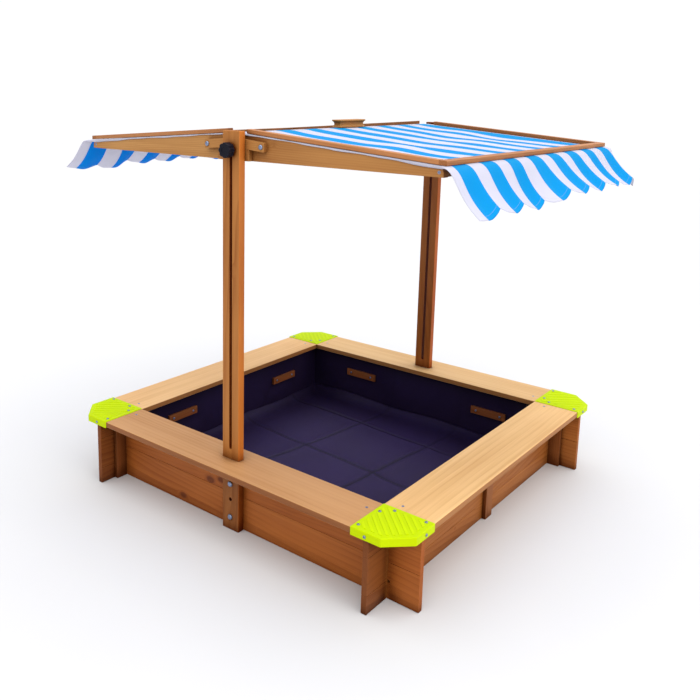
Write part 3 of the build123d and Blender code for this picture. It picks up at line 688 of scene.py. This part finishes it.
    points = np.stack([X + middle, Y, Z], -1)
    made = sheet_object("roof_sheet", points, np.stack([U, V], -1), striped_cloth(), 0.0011)
    side_gap = np.where(D > 0.05, CLOTH_HALF - np.abs(V), 1.0)
    mark(made, "hem", np.minimum(hem, side_gap))
    return made, 2 * (top_length + drop_length)


roof_cloth, cloth_length = roof_sheet()
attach(roof_cloth, "canopy")
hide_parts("roof_cloth")


# ---- Ground liner ----
def liner_fabric():
    """Dark woven ground cloth: flat tape weave, packing creases, painted shade along the creases and near
    the walls, and a dull sheen.
    """
    made, net, shader = new_material("ground_cloth")
    uv = net.node("UVMap", {"uv_map": "cloth"}).outputs[0]
    weft = net.node("TexWave", {"wave_type": "BANDS", "bands_direction": "X"}, Vector=uv, Scale=130.0)
    warp = net.node("TexWave", {"wave_type": "BANDS", "bands_direction": "Y"}, Vector=uv, Scale=130.0)
    weave = net.math("MULTIPLY", weft.outputs["Fac"], warp.outputs["Fac"])
    cloud = net.noise(uv, 4.0, 4.0, 0.6)
    dust = net.noise(uv, 60.0, 4.0, 0.7)
    base = net.mix(cloud, linear(30, 19, 48), linear(46, 32, 74))
    base = net.mix(net.math("MULTIPLY", weave, 0.3), base, linear(52, 42, 88))
    base = net.mix(net.smooth(dust, 0.55, 0.8, 0.0, 0.18), base, linear(62, 54, 96))
    # Painted shade along the creases.
    crease_shade = net.node("Attribute", {"attribute_name": "crease_shade"}).outputs["Fac"]
    base = net.mix(net.math("MULTIPLY", crease_shade, 0.70), base, linear(10, 8, 22))
    # Painted shade: darker where the walls and floor close in.
    wall_shade = net.smooth(openness(net, 0.45), 0.92, 0.45)
    base = net.mix(net.math("MULTIPLY", wall_shade, 0.62), base, linear(20, 11, 20))
    rough = net.math("MULTIPLY_ADD", cloud, 0.15, 0.48)
    height = net.math("MULTIPLY_ADD", weave, 0.5, net.math("MULTIPLY", dust, 0.3))
    paint(shader, net, Base_Color=base, Roughness=rough, Specular_IOR_Level=0.12)
    paint(shader, net, Sheen_Weight=0.03, Sheen_Roughness=0.5, Sheen_Tint=linear(90, 70, 190))
    paint(shader, net, Normal=net.bump(height, 0.0007, 0.5))
    return made


CREASES = (
    ("across", -0.185, 0.13, 0.0030, 0.4), ("across", 0.114, 0.10, 0.0034, 1.2),
    ("across", 0.385, 0.04, 0.0018, 4.0), ("along", -0.300, -0.06, 0.0020, 2.4),
    ("along", 0.020, -0.11, 0.0034, 0.9), ("along", 0.315, -0.05, 0.0020, 3.3),
)
CLIP_PLACES = {
    "front": (0.254, -0.282), "right": (0.254, -0.282), "back": (-0.254, 0.282), "left": (-0.254, 0.282),
}


def liner_sheet():
    """A square of cloth laid on the ground and folded up the four sides, with its packing creases."""
    low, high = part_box("ground_liner")
    half, tall, floor = high.x - 0.0016, high.z, 0.0022
    climb = tall - floor
    reach = half + climb
    extra = np.array([0.003, 0.006, 0.010, 0.016])
    ticks = np.unique(np.concatenate([
        np.linspace(-half, half, 200), np.linspace(half, reach, 44), np.linspace(-reach, -half, 44),
        half - extra, extra - half,
    ]))
    S, T = np.meshgrid(ticks, ticks, indexing="ij")
    rise_s = np.clip(np.abs(S) - half, 0, None)
    rise_t = np.clip(np.abs(T) - half, 0, None)
    X, Y = np.clip(S, -half, half), np.clip(T, -half, half)
    Z = floor + rise_s + rise_t
    flat = (rise_s == 0) & (rise_t == 0)
    near_edge = np.minimum(half - np.abs(X), half - np.abs(Y))

    # The cloth doesn't reach into the corner between floor and wall, but bridges it in a soft curve.
    bridge = 0.030 + 0.008 * np.sin(9 * (X + Y) + 0.4) * np.sin(6 * (X - Y))
    lift = bridge * np.exp(-near_edge / 0.020)
    Z = np.where(flat, Z + lift, np.maximum(Z, floor + bridge))

    crease_shade = np.zeros_like(Z)
    for way, place, lean, height, turn in CREASES:
        W, O = (S, T) if way == "across" else (T, S)
        line = place + lean * O + 0.004 * np.sin(O * 4 + turn) + 0.0012 * np.sin(O * 21 + 2 * turn)
        gap = (W - line) / 0.0060
        strength = 0.30 + 0.70 * np.clip(0.5 + 0.8 * np.cos(O * 4.2 + 0.2 * turn), 0, 1)
        crease_shade = np.maximum(crease_shade, np.exp(-(gap**2)) * strength)
        shoulder = np.exp(-(((W - line) / 0.024) ** 2)) - 1.3 * np.exp(-(gap**2))
        Z = Z + np.where(flat, height * shoulder * strength, 0)
    soft = wave(S, (6.3, 1, 0.3), (13.1, 0.5, 2.0)) * wave(T, (5.1, 1, 1.3), (11.7, 0.6, 0.4))
    soft = soft + 0.5 * np.sin(17 * S + 9 * T + 1.0) * np.sin(7 * S - 14 * T)
    Z = Z + np.where(flat, (0.0042 + 0.0022 * soft) * eased(near_edge, 0.0, 0.12), 0)

    def belly(across, rise, side, seed):
        """How far a wall hangs away from its boards; nothing at the top, the corners and the clips."""
        share = np.clip(rise / climb, 0, 1)
        folds_down = wave(across, (15.0, 0.45, seed), (29.0, 0.35, 2 * seed), (53.0, 0.16, 3 * seed))
        ends = np.clip((half - np.abs(across)) / 0.06, 0, 1)
        held = np.ones_like(across)
        for centre in CLIP_PLACES[side]:
            held = np.minimum(held, eased(np.abs(across - centre), 0.066, 0.125))
        low_part = np.clip((0.085 - rise) / 0.03, 0, 1)
        loose = np.maximum(held, low_part * 0.5)
        return (0.0045 + 0.0045 * folds_down).clip(0.0003, None) * np.sin(np.pi * share) * ends * loose

    Y = np.where(T < -half, Y + belly(X, rise_t, "front", 1), Y)
    Y = np.where(T > half, Y - belly(X, rise_t, "back", 2), Y)
    wall_x = np.where(S > half, X - belly(Y, rise_s, "right", 3), X)
    wall_x = np.where(S < -half, wall_x + belly(Y, rise_s, "left", 4), wall_x)
    points = np.stack([wall_x, Y, Z], -1)
    outside = (np.abs(S) > half + 1e-6) & (np.abs(T) > half + 1e-6)
    keep = ~(outside[:-1, :-1] | outside[1:, 1:] | outside[1:, :-1] | outside[:-1, 1:])
    made = sheet_object("liner_sheet", points, np.stack([S, T], -1), liner_fabric(), 0.0009, keep)
    # Strength for the painted shade along the creases, half as strong on the walls.
    mark(made, "crease_shade", np.where(flat, crease_shade, crease_shade * 0.5))
    return made, 2 * reach, (2 * half) ** 2 + 8 * half * climb


liner, liner_side, liner_area = liner_sheet()
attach(liner, "base")
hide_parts("ground_liner")


# ---- Floor, light and camera ----
def studio_floor():
    made, net, shader = new_material("studio_floor")
    place = net.node("TexCoord").outputs["Object"]
    cloud = net.noise(place, 1.2, 3.0, 0.5)
    base = net.mix(cloud, (0.60, 0.60, 0.61), (0.63, 0.63, 0.635))
    paint(shader, net, Base_Color=base, Roughness=0.85, Specular_IOR_Level=0.1)
    data = bpy.data.meshes.new("floor")
    size = 14.0
    corners = [(-size, -size, 0), (size, -size, 0), (size, size, 0), (-size, size, 0)]
    data.from_pydata(corners, [], [(0, 1, 2, 3)])
    data.materials.append(made)
    floor = bpy.data.objects.new("floor", data)
    floor.location.z = -0.0005
    scene.collection.objects.link(floor)


def area_light(name, place, target, size, power, colour=(1, 1, 1)):
    data = bpy.data.lights.new(name, "AREA")
    data.shape = "RECTANGLE"
    data.size, data.size_y = size
    data.energy = power
    data.color = colour
    made = bpy.data.objects.new(name, data)
    made.location = place
    made.rotation_mode = "QUATERNION"
    made.rotation_quaternion = (Vector(target) - Vector(place)).to_track_quat("-Z", "Y")
    scene.collection.objects.link(made)


studio_floor()
middle = (0.0, 0.0, 0.5)
area_light("key", (1.6, -3.6, 3.2), middle, (2.8, 2.8), 30, (1.0, 0.98, 0.95))
area_light("fill", (4.2, -0.6, 2.0), middle, (2.4, 2.4), 38, (1.0, 0.97, 0.93))
sky = bpy.data.lights.new("sky", "SUN")
sky.energy = 3.4
sky.angle = math.radians(110)
sky_light = bpy.data.objects.new("sky", sky)
sky_light.rotation_euler = (math.radians(-6), math.radians(5), 0)
scene.collection.objects.link(sky_light)

world = bpy.data.worlds.new("studio")
world.use_nodes = True
tree = Net(world.node_tree)
backdrop = world.node_tree.nodes["Background"]
backdrop.inputs["Color"].default_value = (0.97, 0.975, 1.0, 1.0)
seen = tree.node("LightPath").outputs["Is Camera Ray"]
tree.feed(backdrop.inputs["Strength"], tree.math("MULTIPLY_ADD", seen, 0.45, 0.60))
scene.world = world
scene.view_settings.view_transform = "Standard"

AZIMUTH, ELEVATION, ROLL = (math.radians(v) for v in (40.22, 10.75, 0.71))
DISTANCE = 3.777
TARGET = Vector((-0.9499, 0.7864, 0.5083))
back = Vector((
    math.sin(AZIMUTH) * math.cos(ELEVATION),
    -math.cos(AZIMUTH) * math.cos(ELEVATION),
    math.sin(ELEVATION),
))
right_hand = Vector((math.cos(AZIMUTH), math.sin(AZIMUTH), 0.0))
upward = back.cross(right_hand)
camera = bpy.data.objects.new("camera", bpy.data.cameras.new("camera"))
camera.data.sensor_width = 36.0
camera.data.lens = 41.78
camera.data.shift_x = 0.1039
camera.data.shift_y = -0.1501
side_axis = math.cos(ROLL) * right_hand + math.sin(ROLL) * upward
up_axis = -math.sin(ROLL) * right_hand + math.cos(ROLL) * upward
turn = camera.matrix_world.copy()
for row in range(3):
    turn[row][0], turn[row][1], turn[row][2] = side_axis[row], up_axis[row], back[row]
    turn[row][3] = (TARGET + back * DISTANCE)[row]
camera.matrix_world = turn
scene.collection.objects.link(camera)
scene.camera = camera
